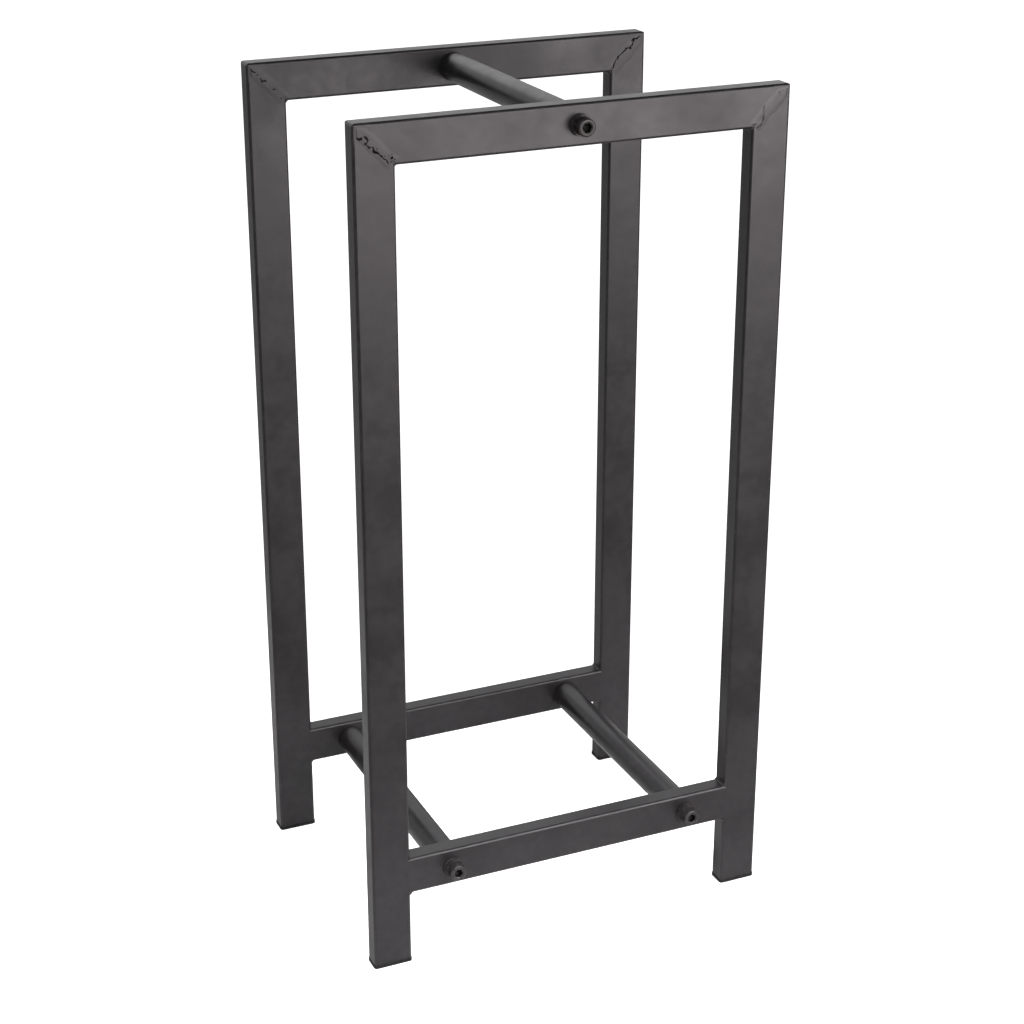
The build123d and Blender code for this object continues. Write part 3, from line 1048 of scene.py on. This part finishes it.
def foot_bmesh():
    """A foot cap about the Z axis: flange with soft edges and a shallow sole, and a hollow ribbed plug."""
    bm = bmesh.new()
    wide, deep = TUBE_FACE + 2 * FLANGE_PROUD, TUBE_DEPTH + 2 * FLANGE_PROUD
    rounded_box(bm, wide, deep, 0.0, FLANGE, TUBE_CORNER + FLANGE_PROUD)
    rims = [edge for height in (0.0, FLANGE) for face in level_faces(bm, height) for edge in face.edges]
    bmesh.ops.bevel(
        bm,
        geom=rims,
        offset=FLANGE_ROUND,
        offset_type="OFFSET",
        segments=3,
        profile=0.5,
        affect="EDGES",
        material=-1,
    )
    sole = level_faces(bm, 0.0)
    for thickness, depth in ((SOLE_RIM, 0.0), (SOLE_SUNK, SOLE_SUNK)):
        bmesh.ops.inset_region(bm, faces=sole, thickness=thickness, depth=0.0)
        sole_verts = list(dict.fromkeys(vert for face in sole for vert in face.verts))
        bmesh.ops.translate(bm, verts=sole_verts, vec=(0, 0, depth))

    top = level_faces(bm, FLANGE)
    bmesh.ops.inset_region(bm, faces=top, thickness=FLANGE_PROUD + TUBE_WALL + PLUG_GAP, depth=0.0)
    for ring in range(PLUG_RINGS):
        pushed = bmesh.ops.extrude_face_region(bm, geom=top)
        verts = vertices_in(pushed["geom"])
        bmesh.ops.translate(bm, verts=verts, vec=(0, 0, PLUG_HEIGHT / PLUG_RINGS))
        step = -RIB if ring % 2 == 0 else RIB
        grow = Matrix.Diagonal((1 + 2 * step / TUBE_FACE, 1 + 2 * step / TUBE_DEPTH, 1.0, 1.0))
        bmesh.ops.delete(bm, geom=top, context="FACES_KEEP_BOUNDARY")
        top = [item for item in pushed["geom"] if isinstance(item, bmesh.types.BMFace)]
        bmesh.ops.transform(bm, matrix=grow, verts=verts)

    bmesh.ops.inset_region(bm, faces=top, thickness=PLUG_WALL, depth=0.0)
    well = bmesh.ops.extrude_face_region(bm, geom=top)
    bmesh.ops.delete(bm, geom=top, context="FACES_KEEP_BOUNDARY")
    bmesh.ops.translate(bm, verts=vertices_in(well["geom"]), vec=(0, 0, -PLUG_HEIGHT + PLUG_FLOOR))
    bmesh.ops.recalc_face_normals(bm, faces=bm.faces[:])
    if bm.calc_volume(signed=True) < 0.0:
        bmesh.ops.reverse_faces(bm, faces=bm.faces[:])
    return bm


print("foot is", round((FLANGE + PLUG_HEIGHT) / MM, 1), "mm high with its plug")

# %% [markdown]
# The feet are placed from the design's own feet, with their soles on the floor.

# %% Feet
for end_name in ENDS:
    for side_name in SIDES:
        name = f"{end_name}_{side_name}_foot"
        low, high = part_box(name)
        bm = foot_bmesh()
        bm.transform(Matrix.Translation(((low.x + high.x) / 2, (low.y + high.y) / 2, 0.0)))
        piece = finish_piece(bm, f"{name}_cap", [black_plastic], sharp=50.0)
        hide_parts(name)
        print(piece.name, len(piece.data.polygons), "faces")

# %% [markdown]
# ## Floor
#
# The floor is one pale sheet. It could be plain white paper, but the glossy black coat mirrors it, so its
# tone in front sets how dark the lower legs look. So it is darker in front than behind, which is painted
# shade standing in for a dimmer room in front, and it glows for the camera alone, which keeps it white
# to look at.

# %% Floor
FLOOR_SIZE = 40.0
# Painted shade: the floor's front is darker, as if less light fell there.
FLOOR_FRONT = (0.42, 0.42, 0.42, 1.0)
FLOOR_REAR = (0.85, 0.85, 0.85, 1.0)
FLOOR_FADE = (-0.9, 0.2)  # metres before and behind the rack's middle
FLOOR_GLOW = 0.9

floor_mesh = bpy.data.meshes.new("floor")
sheet = bmesh.new()
bmesh.ops.create_grid(sheet, x_segments=1, y_segments=1, size=FLOOR_SIZE / 2)
sheet.to_mesh(floor_mesh)
sheet.free()
floor = bpy.data.objects.new("floor", floor_mesh)
bpy.context.scene.collection.objects.link(floor)
floor_paint, tree, shader = new_material("floor_paint")
place = tree.nodes.new("ShaderNodeTexCoord").outputs["Object"]
from_front = add_node(tree, "ShaderNodeSeparateXYZ", _0=place).outputs[1]
grey = mix_colour(tree, spread(tree, from_front, *FLOOR_FADE), FLOOR_FRONT, FLOOR_REAR)
tree.links.new(grey, shader.inputs["Base Color"])
shader.inputs["Emission Color"].default_value = (1.0, 1.0, 1.0, 1.0)
seen = add_node(tree, "ShaderNodeLightPath").outputs["Is Camera Ray"]
tree.links.new(math_node(tree, "MULTIPLY", seen, FLOOR_GLOW), shader.inputs["Emission Strength"])
shader.inputs["Roughness"].default_value = 0.8
shader.inputs["Specular IOR Level"].default_value = 0.1
floor_mesh.materials.append(floor_paint)
print("floor is", FLOOR_SIZE, "m across")

# %% [markdown]
# ## Room
#
# A black object shows only what it mirrors, and the largest thing round it is the room. An evenly bright
# room would make the coat flat grey. This one glows near the horizon and is dark overhead, which draws
# the dark line along the top rails' edges.

# %% Room
GROUND_GLOW = 0.80
CEILING_GLOW = 0.0
GLOW_FADE = (0.45, 0.80)  # how far up, from 0 at the horizon to 1 overhead, the glow starts and ends to fade

world = bpy.data.worlds.new("studio")
world.use_nodes = True
sky = world.node_tree
background = sky.nodes["Background"]
background.inputs["Color"].default_value = (1.0, 1.0, 1.0, 1.0)
direction = sky.nodes.new("ShaderNodeTexCoord")
parts = add_node(sky, "ShaderNodeSeparateXYZ", _0=direction.outputs["Generated"])
glow = spread(sky, parts.outputs[2], *GLOW_FADE, GROUND_GLOW, CEILING_GLOW)
seen = add_node(sky, "ShaderNodeLightPath").outputs["Is Camera Ray"]
glow = math_node(sky, "MAXIMUM", glow, seen)
sky.links.new(glow, background.inputs["Strength"])
bpy.context.scene.world = world
print("room glows", GROUND_GLOW, "low down and", CEILING_GLOW, "overhead")

# %% [markdown]
# ## Light
#
# Small lamps would put hard dots on the gloss, so each light is a card, placed where one set of faces
# looks: one in front for the upper rails and legs, a low one for the round edges of the bottom rails, one
# behind for the top faces and the spacers, and two small pools of light on the floor. The low card and
# the pools are narrowed to a beam, so they light nothing else.

# %% Light
WARM_WHITE = (1.0, 0.95, 0.93)


def softbox(name, place, aim, wide, high, glow, beam=180.0):
    """A rectangular light; its glow is its brightness as seen, so a bigger box gives more light.

    A beam of 180 degrees is a plain card, and a smaller one gathers all of its light into a cone.
    """
    data = bpy.data.lights.new(name, "AREA")
    data.shape = "RECTANGLE"
    data.size = wide
    data.size_y = high
    data.energy = glow * math.pi * wide * high
    data.spread = math.radians(beam)
    light = bpy.data.objects.new(name, data)
    light.location = place
    light.rotation_euler = (Vector(place) - Vector(aim)).to_track_quat("Z", "Y").to_euler()
    light.visible_camera = False
    bpy.context.scene.collection.objects.link(light)
    return light


front_card = softbox("front_card", (0.82, -1.93, 0.55), (0.08, 0.0, 0.55), wide=1.3, high=0.9, glow=7.3)
front_card.data.color = WARM_WHITE
softbox("pool", (-0.65, -0.75, 1.5), (0.0, -0.15, 0.0), wide=0.4, high=0.4, glow=1.2, beam=24)
softbox("edge_light", (0.28, -0.62, 0.60), (0.0, -0.135, 0.09), wide=0.65, high=0.3, glow=0.50, beam=30)
softbox("rear_pool", (-0.6, 0.7, 1.3), (-0.36, 0.32, 0.0), wide=0.3, high=0.3, glow=1.1, beam=30)
softbox("rear_softbox", (0.4, 1.9, 1.95), (0.0, 0.0, 0.3), wide=2.2, high=0.7, glow=1.9)
bpy.context.scene.view_settings.view_transform = "Standard"
print(len(bpy.data.lights), "lights")
